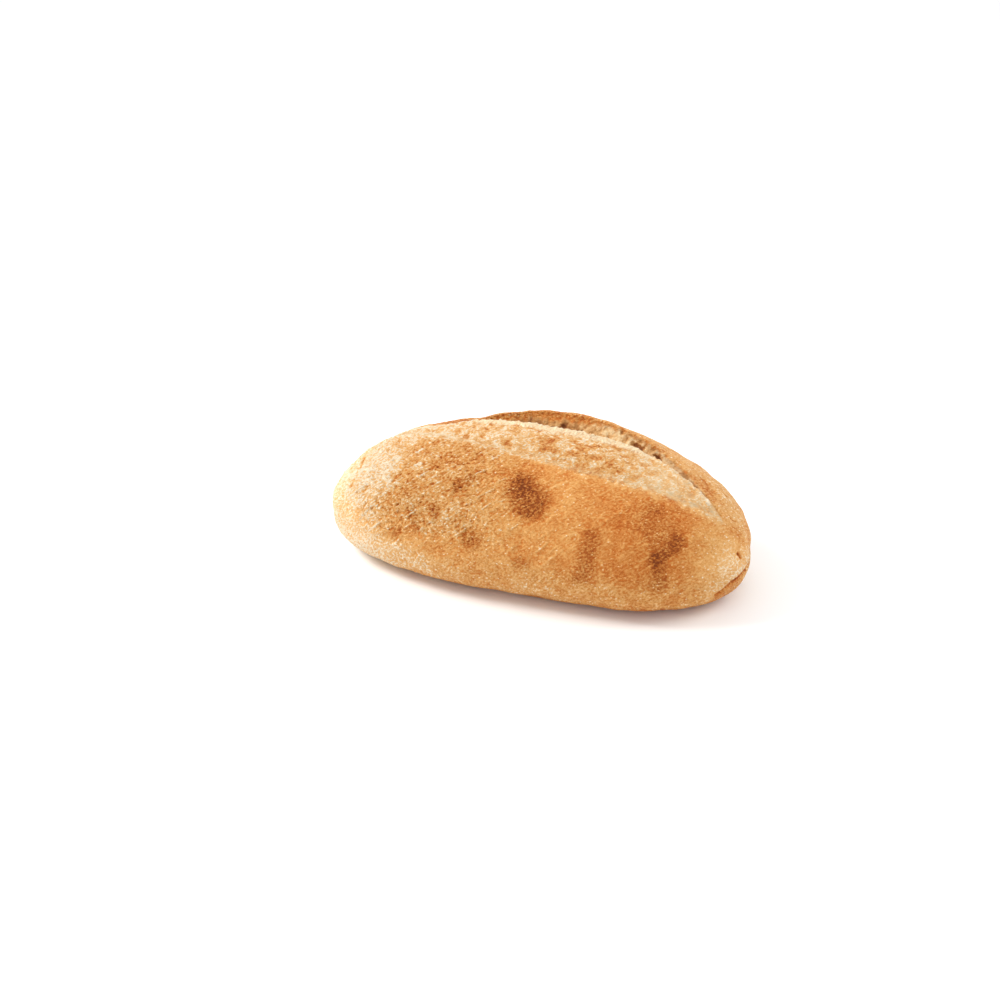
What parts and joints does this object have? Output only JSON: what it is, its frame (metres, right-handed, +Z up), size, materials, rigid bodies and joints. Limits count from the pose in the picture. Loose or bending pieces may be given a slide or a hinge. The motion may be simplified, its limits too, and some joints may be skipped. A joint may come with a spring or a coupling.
{
  "type": "italian bread",
  "caption": "Oval loaf of Italian bread with a golden crust, a long score along its top and a raised ear behind the torn bloom.",
  "frame": {"origin": "centre of the loaf's footprint, on the surface it rests on: the middle of the underside of its box", "axes": "+X along the loaf's length towards its blunter end, +Y towards its back, behind the ear, +Z up"},
  "size_m": [0.25, 0.1262, 0.0832],
  "materials": {
    "crust": "matt golden-tan baked crust, blistered, with browner patches, a paler floury bloom and a cream torn edge along the score"
  },
  "bodies": {
    "root": {"loaf": "crust"}
  },
  "joints": []
}
